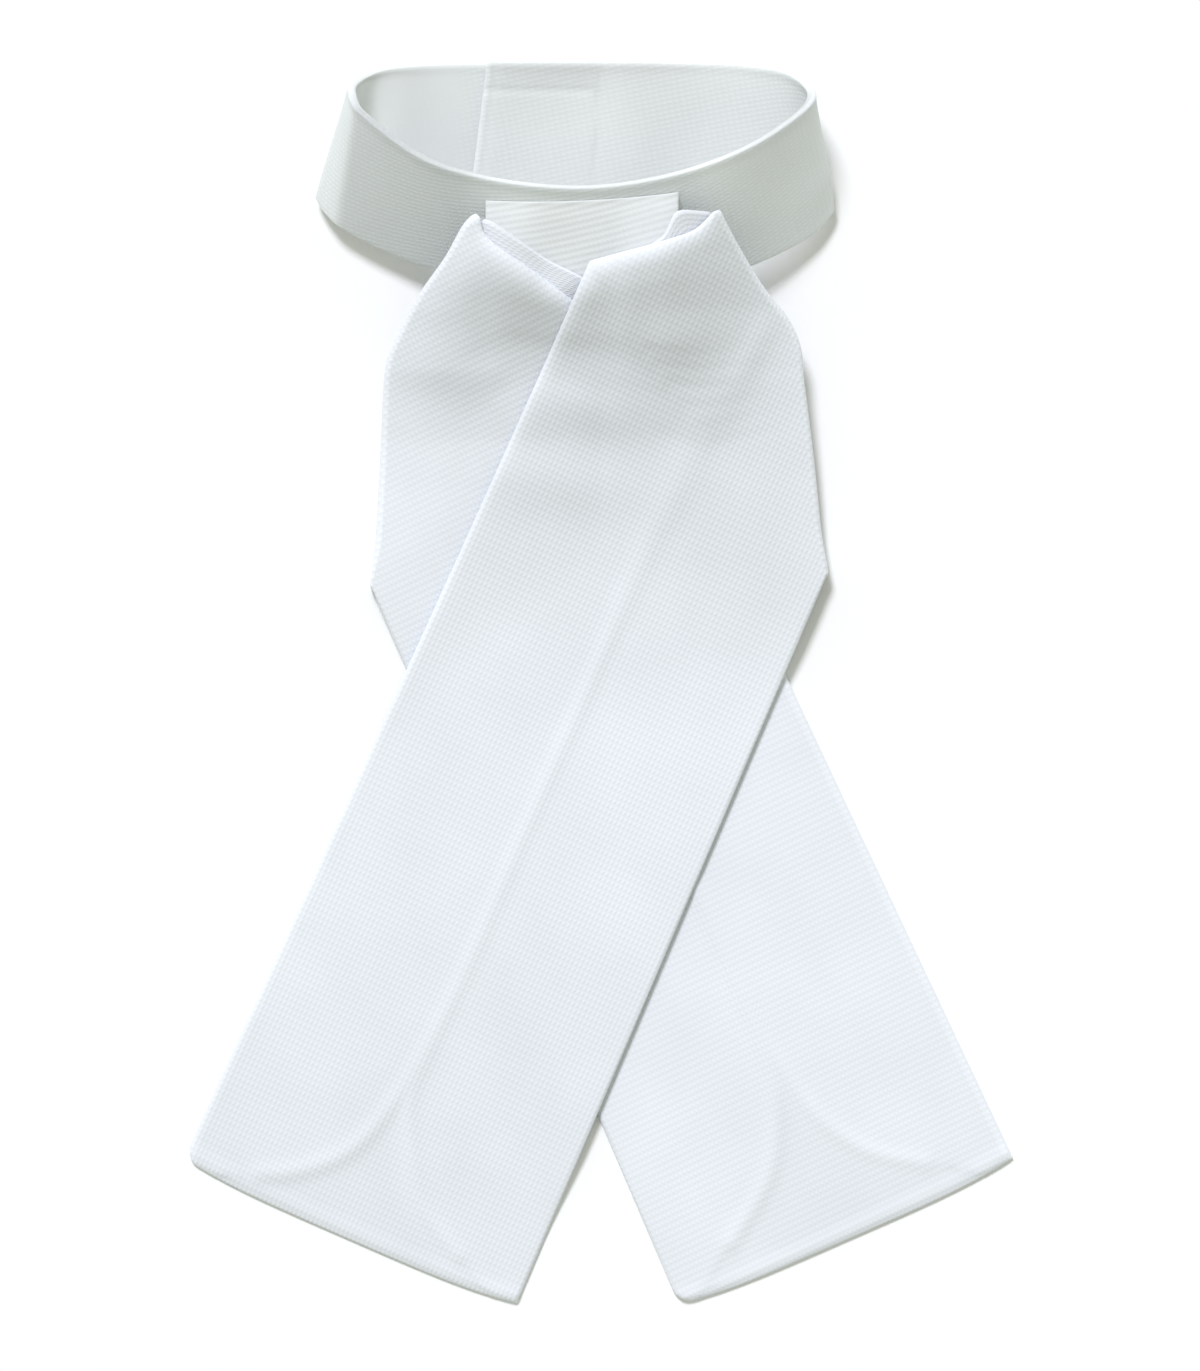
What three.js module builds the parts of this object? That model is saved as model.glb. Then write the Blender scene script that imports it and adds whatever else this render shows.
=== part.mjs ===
import * as THREE from "three";

// Pre-tied riding stock lying flat on a table, in millimetres, +Z up.
// X runs to the right as seen from above, Y runs from the tail ends to the neckband.
// The origin is the middle of the outline, on the table.

// Cloth and piece sizes
const bandThickness = 2.2;
const tailThickness = 1.8;
const tabThickness = 2.0;
const fastenerThickness = 1.5;
const restGap = 0.35;
const tailFoldRadius = 1.4;
const tailRestHeight = 0.9;
const outlineShiftY = -0.4;

// Segment counts
const bandSegmentsAround = 80;
const bandSegmentsDown = 5;
const tailSegmentsAcross = 16;
const tabSegmentsAcross = 8;
const tabSegmentsDown = 16;
const fastenerSegments = 6;
const curveDivisions = 600;

// Rim of the neckband, from the back centre leftwards, over the front and back round the right
const rimPoints = [
  { x: 4.3, y: 191.4, z: 1.1 },
  { x: -31.1, y: 191.4, z: 1.1 },
  { x: -55.7, y: 190.7, z: 2.4 },
  { x: -69.6, y: 188.4, z: 10 },
  { x: -76.2, y: 181.7, z: 24.5 },
  { x: -69.8, y: 173.6, z: 32.5 },
  { x: -53.4, y: 160.6, z: 37 },
  { x: -36.7, y: 154.6, z: 38.6 },
  { x: -7.3, y: 151.2, z: 39.6 },
  { x: 17.0, y: 154.0, z: 39.6 },
  { x: 38.8, y: 161.0, z: 37.6 },
  { x: 53.2, y: 169.0, z: 33.5 },
  { x: 64.2, y: 179.3, z: 25 },
  { x: 58.6, y: 187.6, z: 10 },
  { x: 44.3, y: 190.6, z: 2.4 },
  { x: 21.9, y: 191.4, z: 1.1 },
  { x: 4.3, y: 191.4, z: 1.1 },
];

// Lower edge of the neckband, in the same order
const lowerPoints = [
  { x: 2.0, y: 147.4, z: 1.1 },
  { x: -32.0, y: 147.4, z: 1.1 },
  { x: -62.0, y: 147.4, z: 1.3 },
  { x: -79.0, y: 148.7, z: 2.0 },
  { x: -87.0, y: 150.2, z: 3.2 },
  { x: -85.6, y: 146.4, z: 3.8 },
  { x: -79.2, y: 141.4, z: 4.6 },
  { x: -69.6, y: 135.8, z: 5.4 },
  { x: -52.4, y: 128.4, z: 8 },
  { x: -34.0, y: 121.2, z: 10.5 },
  { x: -7.0, y: 116.2, z: 12.5 },
  { x: 16.5, y: 119.0, z: 12.5 },
  { x: 28.5, y: 122.4, z: 12 },
  { x: 47.8, y: 129.3, z: 9.5 },
  { x: 60.6, y: 135.6, z: 6.4 },
  { x: 67.3, y: 140.4, z: 4.6 },
  { x: 71.1, y: 146.6, z: 3.2 },
  { x: 65.0, y: 148.2, z: 2.0 },
  { x: 48.0, y: 147.3, z: 1.3 },
  { x: 24.0, y: 147.4, z: 1.1 },
  { x: 2.0, y: 147.4, z: 1.1 },
];

// Closure at the back: the inner end laps over the outer one, with a slanting end edge
const lapLeftX = -35;
const lapRightX = 4;
const lapSlant = 3.2;
const lapRise = bandThickness + fastenerThickness + 2 * restGap;
const lapEaseLength = 30;
const fastenerLeftX = -31;
const fastenerRightX = 0;
const fastenerTopY = 182.5;
const fastenerLowY = 153;

// Gentle part of the height that the tails are draped over, and where its middle lies
const drapeRows = [
  { y: 170, z: 30.5, middleX: -6 },
  { y: 150, z: 29, middleX: -6 },
  { y: 140, z: 27.2, middleX: -6 },
  { y: 132, z: 25.6, middleX: -6 },
  { y: 124, z: 23.8, middleX: -5 },
  { y: 115, z: 21.6, middleX: -4 },
  { y: 105, z: 19.4, middleX: -2 },
  { y: 97, z: 17.4, middleX: 0 },
  { y: 90, z: 15.2, middleX: 3 },
  { y: 82, z: 12.8, middleX: 6 },
  { y: 75, z: 10.8, middleX: 9 },
  { y: 60, z: 7.5, middleX: 12 },
  { y: 45, z: 4.9, middleX: 12 },
  { y: 30, z: 2.8, middleX: 12 },
  { y: 15, z: 1.3, middleX: 12 },
  { y: 0, z: 0.4, middleX: 12 },
  { y: -15, z: 0, middleX: 12 },
  { y: -260, z: 0, middleX: 12 },
];
const drapeFlatHalf = 22;
const drapeFallWidth = 42;

// Steep part of the drape: the ridge below the top edges of the tails where it starts, its foot,
// and how far it drops between them
const steepRows = [
  { x: 260, ridge: 130, foot: 96, drop: 20 },
  { x: 70, ridge: 132, foot: 96, drop: 20 },
  { x: 45, ridge: 134, foot: 91, drop: 20 },
  { x: 30, ridge: 133, foot: 89, drop: 20 },
  { x: 21, ridge: 131, foot: 91, drop: 20 },
  { x: 12, ridge: 128, foot: 94, drop: 18.2 },
  { x: 3, ridge: 125.5, foot: 97, drop: 13.5 },
  { x: -6, ridge: 121.5, foot: 99, drop: 11.5 },
  { x: -16, ridge: 119.3, foot: 100.5, drop: 10.5 },
  { x: -25, ridge: 122.8, foot: 101, drop: 12.5 },
  { x: -34, ridge: 126.6, foot: 97, drop: 13.5 },
  { x: -43, ridge: 122, foot: 90, drop: 14 },
  { x: -53, ridge: 116, foot: 81, drop: 14 },
  { x: -70, ridge: 114, foot: 79, drop: 14 },
  { x: -260, ridge: 114, foot: 79, drop: 14 },
];
const steepFallWidth = 30;
const ridgeSoftness = 0.13;
const footSoftness = 0.34;
const softSteps = [-1, -0.6, -0.2, 0.2, 0.6, 1];

// Soft humps on the hanging part of each tail: middle, turn in degrees, reaches and height
const frontDents = [
  { x: -3, y: 86, turn: -6, long: 30, short: 8, height: 1.3 },
  { x: -14, y: 62, turn: -6, long: 30, short: 9, height: 0.9 },
  { x: 23, y: 104, turn: 30, long: 10, short: 8, height: 1.1 },
  { x: 46, y: 101.7, turn: 63, long: 12, short: 4, height: 0.6 },
];
const rearDents = [{ x: -44, y: 95, turn: -20, long: 14, short: 9, height: 1.2 }];

// Stacking of the layers: step over the rear tail, and where the turned layers end
const layerStep = 2.8;
const stepReach = 32;
const stepEase = 28;
const backEdgeY = 96;
const backEdgeFall = 0.92;
const backReach = 56;
const backEase = 60;

// Outlines of the tails as seen from above.
// shoulder is the folded side from its top corner down, outerEnd and innerEnd are the corners of the
// tail end, inner is the free top edge and back is the free top edge of the layer behind.
// gather is where the layer behind ends under the knot, roundAtOuter tells which corner is rounded.
const frontTail = {
  side: 1,
  innerEnd: { x: -128.5, y: -146.0 },
  outerEnd: { x: -25.9, y: -190.7 },
  shoulder: [
    { x: 36.3, y: 144.1 },
    { x: 38.0, y: 140.3 },
    { x: 45.2, y: 128.2 },
    { x: 51.3, y: 119.4 },
    { x: 57.3, y: 112.3 },
    { x: 61.2, y: 104.0 },
    { x: 62.4, y: 93.4 },
    { x: 65.5, y: 68.9 },
    { x: 69.2, y: 32.9 },
  ],
  inner: [
    { x: -3.3, y: 128.3 },
    { x: 3.6, y: 130.1 },
    { x: 16.2, y: 133.3 },
    { x: 21.5, y: 135.0 },
    { x: 29.9, y: 138.3 },
    { x: 36.3, y: 144.1 },
  ],
  back: [
    { x: 36.3, y: 144.2 },
    { x: 30.8, y: 144.3 },
    { x: 24.6, y: 143.7 },
    { x: 20.0, y: 136.3 },
    { x: 14.9, y: 132.8 },
    { x: -0.3, y: 119.9 },
  ],
  gather: { x: -0.3, top: 119.9, low: 92 },
  roundAtOuter: false,
};
const rearTail = {
  side: -1,
  innerEnd: { x: 126.9, y: -146.0 },
  outerEnd: { x: 24.0, y: -191.0 },
  shoulder: [
    { x: -38.2, y: 143.0 },
    { x: -41.5, y: 139.9 },
    { x: -47.4, y: 130.0 },
    { x: -55.1, y: 119.8 },
    { x: -60.6, y: 110.6 },
    { x: -65.1, y: 101.3 },
    { x: -66.4, y: 95.8 },
    { x: -68.0, y: 68.9 },
    { x: -70.3, y: 28.9 },
  ],
  inner: [
    { x: 10.4, y: 101.4 },
    { x: 1.5, y: 109.8 },
    { x: -10.0, y: 118.0 },
    { x: -18.5, y: 124.4 },
    { x: -25.8, y: 129.4 },
    { x: -33.2, y: 134.6 },
    { x: -36.9, y: 138.4 },
    { x: -38.2, y: 143.0 },
  ],
  back: [
    { x: -38.2, y: 143.1 },
    { x: -35.1, y: 142.2 },
    { x: -26.0, y: 136.0 },
    { x: -16.8, y: 129.7 },
    { x: -6.4, y: 124.1 },
    { x: -1.5, y: 121.0 },
  ],
  gather: { x: -1.5, top: 120.9, low: 92 },
  roundAtOuter: true,
};
const tailWidth = 112;
const tailEndBow = 2.6;
const bendDrop = 8;
const cornerRadius = 4.5;
const topRollDrop = 0.5;
const topRollWidth = 4;
const topEdgePull = 3;
const foldTaperStart = 0.86;

// Rows along a tail: on the rounded end, the straight run, the turn, the fold and the layer behind
const cornerRows = 3;
const runRows = 20;
const runCrowding = 1.5;
const turnRows = 12;
const foldRows = 4;
const backRows = 9;
const pleatCount = 3;
const pleatDepth = 0.2;
const pleatStart = 0.3;
const pleatEase = 0.5;
const rollFade = 8;
const bowPower = 4;
const bowFade = 3;

// Tab sizes: taut from just over the rim down to the knot, then hidden under the tails
const tabLeftX = -35.1;
const tabRightX = 23.6;
const tabMiddleX = -5.8;
const tabTopLeftY = 147.0;
const tabTopRightY = 149.4;
const tabTopDip = 1.5;
const tabKnotY = 125;
const tabLowY = 108;
const tabUnder = 1.85;
const tabGap = 0.9;

// Search over the front of the band, and the lean that its upper face is allowed for
const frontStart = 0.25;
const frontEnd = 0.8;
const frontTopY = 150;
const frontReachY = 33;
const searchRounds = 6;
const searchSteps = 24;
const bandLean = 1.3;

const clamp = (v, low, high) => Math.min(high, Math.max(low, v));
const mix = (a, b, t) => a + (b - a) * t;
const ease = (t) => {
  const c = clamp(t, 0, 1);
  return c * c * (3 - 2 * c);
};

// Value read from a table that falls with its key, eased with a monotone slope
function readTable(rows, key, column, at) {
  let i = 0;
  while (i < rows.length - 2 && at < rows[i + 1][key]) i += 1;
  const rise = (k) => (rows[k + 1][column] - rows[k][column]) / (rows[k + 1][key] - rows[k][key]);
  const slope = (k) => {
    if (k <= 0 || k >= rows.length - 1) return 0;
    const before = rise(k - 1);
    const after = rise(k);
    return before * after <= 0 ? 0 : (2 * before * after) / (before + after);
  };
  const h = rows[i + 1][key] - rows[i][key];
  const t = clamp((at - rows[i][key]) / h, 0, 1);
  const t2 = t * t;
  const t3 = t2 * t;
  return (
    (2 * t3 - 3 * t2 + 1) * rows[i][column] +
    (t3 - 2 * t2 + t) * h * slope(i) +
    (3 * t2 - 2 * t3) * rows[i + 1][column] +
    (t3 - t2) * h * slope(i + 1)
  );
}

// Even walk along a smooth curve through a table of points
function curveThrough(points) {
  const curve = new THREE.CatmullRomCurve3(
    points.map((p) => new THREE.Vector3(p.x, p.y, p.z ?? 0)),
    false,
    "centripetal",
  );
  curve.arcLengthDivisions = curveDivisions;
  return curve;
}

// Closed cloth wall of even thickness around a middle surface given as a grid of points
function sheetSolid(grid, thickness) {
  const rows = grid.length;
  const columns = grid[0].length;
  const half = thickness / 2;
  const normals = grid.map((row, i) =>
    row.map((_, j) => {
      const down = grid[Math.min(i + 1, rows - 1)][j].clone();
      down.sub(grid[Math.max(i - 1, 0)][j]);
      const along = grid[i][Math.min(j + 1, columns - 1)].clone();
      along.sub(grid[i][Math.max(j - 1, 0)]);
      return down.cross(along).normalize();
    }),
  );
  const positions = [];
  const index = [];
  const put = (sign) => {
    const start = positions.length / 3;
    for (let i = 0; i < rows; i += 1) {
      for (let j = 0; j < columns; j += 1) {
        const p = grid[i][j].clone().addScaledVector(normals[i][j], sign * half);
        positions.push(p.x, p.y, p.z);
      }
    }
    return start;
  };
  const outer = put(1);
  const inner = put(-1);
  const at = (start, i, j) => start + i * columns + j;
  for (let i = 0; i < rows - 1; i += 1) {
    for (let j = 0; j < columns - 1; j += 1) {
      const a = at(outer, i, j);
      const b = at(outer, i + 1, j);
      const c = at(outer, i + 1, j + 1);
      const d = at(outer, i, j + 1);
      index.push(a, b, c, a, c, d);
      const e = at(inner, i, j);
      const f = at(inner, i + 1, j);
      const g = at(inner, i + 1, j + 1);
      const h = at(inner, i, j + 1);
      index.push(e, g, f, e, h, g);
    }
  }
  const wall = (i0, j0, i1, j1) => {
    const a = at(outer, i0, j0);
    const b = at(outer, i1, j1);
    const c = at(inner, i1, j1);
    const d = at(inner, i0, j0);
    index.push(a, c, b, a, d, c);
  };
  for (let i = 0; i < rows - 1; i += 1) {
    wall(i, 0, i + 1, 0);
    wall(i + 1, columns - 1, i, columns - 1);
  }
  for (let j = 0; j < columns - 1; j += 1) {
    wall(0, j + 1, 0, j);
    wall(rows - 1, j, rows - 1, j + 1);
  }
  const geometry = new THREE.BufferGeometry();
  geometry.setAttribute("position", new THREE.Float32BufferAttribute(positions, 3));
  geometry.setIndex(index);
  geometry.computeVertexNormals();
  return geometry;
}

// Neckband: ruled between the rim and the lower edge, with its inner end lapped over the outer
const rimCurve = curveThrough(rimPoints);
const lowerCurve = curveThrough(lowerPoints);
const rimLength = rimCurve.getLength();
const lapLength = lapRightX - lapLeftX;

// Middle of the band at a length round the rim and a share from the rim to the lower edge
function bandPoint(length, share) {
  const turn = clamp(length / rimLength, 0, 1);
  const top = rimCurve.getPointAt(turn);
  const low = lowerCurve.getPointAt(turn);
  const point = top.lerp(low, share);
  const beyond = length - rimLength;
  if (beyond > 0) point.x -= beyond;
  const rise = ease((beyond + lapEaseLength) / lapEaseLength);
  point.z = Math.max(point.z, bandThickness / 2) + lapRise * rise;
  return point;
}

function bandGrid() {
  const grid = [];
  const total = rimLength + lapLength;
  for (let i = 0; i <= bandSegmentsAround; i += 1) {
    const row = [];
    for (let j = 0; j <= bandSegmentsDown; j += 1) {
      const share = j / bandSegmentsDown;
      row.push(bandPoint(((total + lapSlant * share) * i) / bandSegmentsAround, share));
    }
    grid.push(row);
  }
  return grid;
}

// Touch fastener between the lapped ends
function fastenerGrid() {
  const grid = [];
  const z = bandThickness + restGap + fastenerThickness / 2;
  for (let i = 0; i <= fastenerSegments; i += 1) {
    const x = mix(fastenerLeftX, fastenerRightX, i / fastenerSegments);
    const row = [];
    for (let j = 0; j <= fastenerSegments; j += 1) {
      row.push(new THREE.Vector3(x, mix(fastenerLowY, fastenerTopY, j / fastenerSegments), z));
    }
    grid.push(row);
  }
  return grid;
}

// Height of what the tails are draped over, at any place on the table
const fall = (aside, width) => Math.exp(-((aside / width) ** 2));
function drapeHeight(x, y) {
  const middleX = readTable(drapeRows, "y", "middleX", y);
  const aside = Math.max(0, Math.abs(x - middleX) - drapeFlatHalf);
  const gentle = readTable(drapeRows, "y", "z", y) * fall(aside, drapeFallWidth);
  const ridge = readTable(steepRows, "x", "ridge", x);
  const foot = readTable(steepRows, "x", "foot", x);
  const drop = readTable(steepRows, "x", "drop", x);
  const up = (y - foot) / (ridge - foot);
  const softness = mix(footSoftness, ridgeSoftness, clamp(up, 0, 1));
  let share = 0;
  for (const step of softSteps) share += clamp(up + softness * step, 0, 1) / softSteps.length;
  return gentle + drop * share * fall(aside, steepFallWidth);
}

// Height that a table of soft humps adds at any place
function dented(rows, x, y) {
  let total = 0;
  for (const row of rows) {
    const turn = THREE.MathUtils.degToRad(row.turn);
    const dx = x - row.x;
    const dy = y - row.y;
    const far = (dx * Math.cos(turn) + dy * Math.sin(turn)) / row.long;
    const near = (dy * Math.cos(turn) - dx * Math.sin(turn)) / row.short;
    total += row.height * fall(Math.hypot(far, near), 1);
  }
  return total;
}

// How far the layers behind reach under the front layers: 1 over them, 0 past their lower edges
function backLayerShare(x, y) {
  const edge = backEdgeY - backEdgeFall * Math.abs(x);
  return ease((y - edge + backReach) / backEase);
}

// Distance to the left of a line from one place to another
function leftOfLine(from, to, x, y) {
  const dx = to.x - from.x;
  const dy = to.y - from.y;
  return (dx * (y - from.y) - dy * (x - from.x)) / Math.hypot(dx, dy);
}

// How far the rear tail lies under the front one: 1 over it, 0 outside its two long edges
function rearTailShare(x, y) {
  const t = rearTail;
  const outerTop = t.shoulder[t.shoulder.length - 1];
  const fromInner = -leftOfLine(t.inner[0], t.innerEnd, x, y);
  const fromOuter = leftOfLine(outerTop, t.outerEnd, x, y);
  return ease((fromInner + stepReach) / stepEase) * ease((fromOuter + stepReach) / stepEase);
}

// Upright size of a wall that leans with the drape
function leanFactor(x, y) {
  const up = (drapeHeight(x, y + 1) - drapeHeight(x, y - 1)) / 2;
  const aside = (drapeHeight(x + 1, y) - drapeHeight(x - 1, y)) / 2;
  return Math.hypot(1, up, aside);
}

// Middle heights of the layer behind, the rear tail and the front tail
const backHeight = (x, y) => drapeHeight(x, y) + tailRestHeight * leanFactor(x, y);
const rearHeight = (x, y) =>
  backHeight(x, y) +
  2 * tailFoldRadius * backLayerShare(x, y) * leanFactor(x, y) +
  dented(rearDents, x, y);
const frontHeight = (x, y) =>
  rearHeight(x, y) + layerStep * rearTailShare(x, y) * leanFactor(x, y) + dented(frontDents, x, y);

// Middle surface of a tail: straight run, turn to the shoulder, fold, and the layer behind
function tailGrid(tail, height) {
  const outline = curveThrough(tail.shoulder);
  const inner = curveThrough(tail.inner);
  const back = curveThrough(tail.back);
  const rows = [];
  const row = (make) => {
    const out = [];
    for (let i = 0; i <= tailSegmentsAcross; i += 1) out.push(make(i / tailSegmentsAcross));
    rows.push(out);
  };
  const outward = (s) => {
    const tangent = outline.getTangentAt(s);
    return new THREE.Vector3(-tangent.y, tangent.x, 0).multiplyScalar(tail.side);
  };
  const foldSize = (s) => 1 - ease((s - foldTaperStart) / (1 - foldTaperStart));
  const foldLine = (s) => {
    const inset = (tailFoldRadius + tailThickness / 2) * foldSize(s);
    return outline.getPointAt(s).addScaledVector(outward(s), -inset);
  };
  const flat = (p) => new THREE.Vector3(p.x, p.y, 0);
  const innerTop = flat(tail.inner[0]);
  const innerEnd = flat(tail.innerEnd);
  const outerTop = flat(tail.shoulder[tail.shoulder.length - 1]);
  const outerEnd = flat(tail.outerEnd);
  const runWay = outerEnd.clone().sub(outerTop).normalize();
  const outerBend = outerTop.clone().addScaledVector(runWay, bendDrop);
  const runLength = outerBend.distanceTo(outerEnd);
  const straight = (s, t) => {
    const beyond = Math.max(0, 1 - ((1 - t) * runLength) / cornerRadius);
    const cut = (cornerRadius / tailWidth) * (1 - Math.sqrt(1 - beyond ** 2));
    const across = tail.roundAtOuter ? s * (1 - cut) : s + (1 - s) * cut;
    const bow = tailEndBow * (1 - (2 * across - 1) ** bowPower) * t ** bowFade;
    const top = innerTop.clone().lerp(outerBend, across);
    const end = innerEnd.clone().lerp(outerEnd, across);
    return top.lerp(end, t).addScaledVector(runWay, bow);
  };
  const onFront = (p, s, rolled) => {
    const roll = topRollDrop * clamp(1 - (s * tailWidth) / topRollWidth, 0, 1) ** 2;
    p.z = height(p.x, p.y) - roll * rolled;
    return p;
  };
  const runAt = (walked) => {
    const t = 1 - walked / runLength;
    row((s) => onFront(straight(s, t), s, (1 - t) ** rollFade));
  };
  for (let i = 0; i < cornerRows; i += 1) {
    runAt(cornerRadius * (1 - Math.cos((Math.PI / 2) * (i / cornerRows))));
  }
  for (let i = 0; i < runRows; i += 1) {
    runAt(mix(runLength, cornerRadius, (1 - i / runRows) ** runCrowding));
  }
  const pullOf = (s) => (1 - s) ** topEdgePull;
  for (let i = 0; i <= turnRows; i += 1) {
    const t = i / turnRows;
    const edge = inner.getPointAt(t).sub(innerTop.clone().lerp(inner.getPointAt(1), t));
    row((s) => {
      const place = straight(s, 0).lerp(foldLine(s), t).addScaledVector(edge, pullOf(s));
      return onFront(place, s, 1 - t ** rollFade);
    });
  }
  for (let i = 1; i <= foldRows; i += 1) {
    const angle = (Math.PI * i) / foldRows;
    row((s) => {
      const out = tailFoldRadius * Math.sin(angle) * foldSize(s);
      const place = foldLine(s).addScaledVector(outward(s), out);
      const top = height(place.x, place.y);
      const low = backHeight(place.x, place.y);
      place.z = (top + low) / 2 + ((top - low) / 2) * Math.cos(angle);
      return place;
    });
  }
  const gather = tail.gather;
  const gatherAt = (s) => flat({ x: gather.x, y: mix(gather.top, gather.low, s) });
  for (let i = 1; i <= backRows; i += 1) {
    const t = i / backRows;
    const edge = back.getPointAt(t).sub(back.getPointAt(0).lerp(gatherAt(0), t));
    row((s) => {
      const place = foldLine(s).lerp(gatherAt(s), t).addScaledVector(edge, pullOf(s));
      const pleat = (1 - Math.cos(2 * Math.PI * pleatCount * s)) / 2;
      const gathered = ease((t - pleatStart) / pleatEase);
      place.z = backHeight(place.x, place.y) + pleatDepth * pleat * gathered;
      return place;
    });
  }
  return rows;
}

// Length round the rim at which the front of the band stands over a place across
function lengthAcross(x, share) {
  let low = rimLength * frontStart;
  let high = rimLength * frontEnd;
  for (let i = 0; i < searchSteps; i += 1) {
    const middle = (low + high) / 2;
    if (bandPoint(middle, share).x < x) low = middle;
    else high = middle;
  }
  return (low + high) / 2;
}

// Height of the band's upper face over its front
function bandTop(x, y) {
  let share = clamp((frontTopY - y) / frontReachY, 0, 1);
  let place = bandPoint(lengthAcross(x, share), share);
  for (let i = 1; i < searchRounds; i += 1) {
    share = clamp(share + (place.y - y) / frontReachY, 0, 1);
    place = bandPoint(lengthAcross(x, share), share);
  }
  return place.z + (bandThickness / 2) * bandLean;
}

// Tab: taut from over the rim down to the knot, then along the underside of the tails
function tabGrid() {
  const grid = [];
  const underTails = (x, y) => drapeHeight(x, y) - tabUnder * leanFactor(x, y);
  for (let i = 0; i <= tabSegmentsAcross; i += 1) {
    const x = mix(tabLeftX, tabRightX, i / tabSegmentsAcross);
    const bow = 1 - ((x - tabMiddleX) / (tabRightX - tabMiddleX)) ** 2;
    const topY = mix(tabTopLeftY, tabTopRightY, i / tabSegmentsAcross) - tabTopDip * bow;
    const topZ = bandTop(x, topY) + tabGap + tabThickness / 2;
    const knotZ = underTails(x, tabKnotY);
    const row = [];
    for (let j = 0; j <= tabSegmentsDown; j += 1) {
      const y = mix(tabLowY, topY, j / tabSegmentsDown);
      const taut = mix(knotZ, topZ, (y - tabKnotY) / (topY - tabKnotY));
      row.push(new THREE.Vector3(x, y, y > tabKnotY ? taut : underTails(x, y)));
    }
    grid.push(row);
  }
  return grid;
}

function clothMesh(name, geometry, colour, roughness) {
  const material = new THREE.MeshStandardMaterial({ color: colour, roughness, metalness: 0 });
  material.name = name + "_cloth";
  const mesh = new THREE.Mesh(geometry, material);
  mesh.name = name;
  return mesh;
}

const cravat = new THREE.Group();
cravat.name = "cravat";
cravat.position.y = outlineShiftY;
const collar = new THREE.Group();
collar.name = "collar";
const knot = new THREE.Group();
knot.name = "knot";
cravat.add(collar, knot);

collar.add(clothMesh("neckband", sheetSolid(bandGrid(), bandThickness), 0xe6ebe9, 0.85));
collar.add(
  clothMesh("touch_fastener", sheetSolid(fastenerGrid(), fastenerThickness), 0xf0f1ee, 0.9),
);
knot.add(clothMesh("knot_tab", sheetSolid(tabGrid(), tabThickness), 0xe8edec, 0.85));
const rearSolid = sheetSolid(tailGrid(rearTail, rearHeight), tailThickness);
knot.add(clothMesh("tail_rear", rearSolid, 0xf0f4f6, 0.85));
const frontSolid = sheetSolid(tailGrid(frontTail, frontHeight), tailThickness);
knot.add(clothMesh("tail_front", frontSolid, 0xf0f4f6, 0.85));

export default cravat;
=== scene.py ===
import math

import bpy
import numpy as np
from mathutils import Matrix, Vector


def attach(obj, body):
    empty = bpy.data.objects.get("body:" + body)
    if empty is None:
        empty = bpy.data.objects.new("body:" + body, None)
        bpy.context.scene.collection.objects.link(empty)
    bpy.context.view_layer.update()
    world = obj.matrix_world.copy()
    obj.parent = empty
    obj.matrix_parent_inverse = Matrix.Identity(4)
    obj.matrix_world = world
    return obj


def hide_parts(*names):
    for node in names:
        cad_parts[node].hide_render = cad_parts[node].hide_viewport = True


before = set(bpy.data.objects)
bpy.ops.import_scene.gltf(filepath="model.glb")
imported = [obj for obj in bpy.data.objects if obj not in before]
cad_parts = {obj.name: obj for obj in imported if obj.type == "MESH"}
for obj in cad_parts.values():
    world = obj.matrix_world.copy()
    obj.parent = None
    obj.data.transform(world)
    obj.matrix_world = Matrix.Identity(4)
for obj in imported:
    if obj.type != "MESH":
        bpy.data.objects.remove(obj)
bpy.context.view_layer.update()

# Sizes in millimetres, as in the part
MM = 0.001
BAND_THICKNESS = 2.2
TAIL_THICKNESS = 1.8
TAB_THICKNESS = 2.0
FASTENER_THICKNESS = 1.5
REST_GAP = 0.35
TAIL_FOLD_RADIUS = 1.4
LAYER_STEP = 2.8
STEP_REACH = 32
STEP_EASE = 28
BACK_EDGE_Y = 96
BACK_EDGE_FALL = 0.92
BACK_REACH = 56
BACK_EASE = 60
TAIL_REST_HEIGHT = 0.9
OUTLINE_SHIFT = np.array([0.0, -0.4, 0.0])

# How fine the meshes are: steps over a span of a curve and round an edge, length of a step over
# the cloth, and steps over the turn, the fold and the back layer of a tail
CURVE_STEPS = 120
SEAM_LINE_STEPS = 24
EDGE_STEPS = 6
FINE_STEP = 1.4
BAND_STEP = 1.2
FASTENER_STEP = 1
TAB_STEP = 0.8
TURN_STEPS = 44
FOLD_STEPS = 12
BACK_STEPS = 28

# Rim of the neckband, from the back centre leftwards, over the front and back: x, y, z
RIM_POINTS = [
    (4.3, 191.4, 1.1),
    (-31.1, 191.4, 1.1),
    (-55.7, 190.7, 2.4),
    (-69.6, 188.4, 10),
    (-76.2, 181.7, 24.5),
    (-69.8, 173.6, 32.5),
    (-53.4, 160.6, 37),
    (-36.7, 154.6, 38.6),
    (-7.3, 151.2, 39.6),
    (17.0, 154.0, 39.6),
    (38.8, 161.0, 37.6),
    (53.2, 169.0, 33.5),
    (64.2, 179.3, 25),
    (58.6, 187.6, 10),
    (44.3, 190.6, 2.4),
    (21.9, 191.4, 1.1),
    (4.3, 191.4, 1.1),
]

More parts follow.
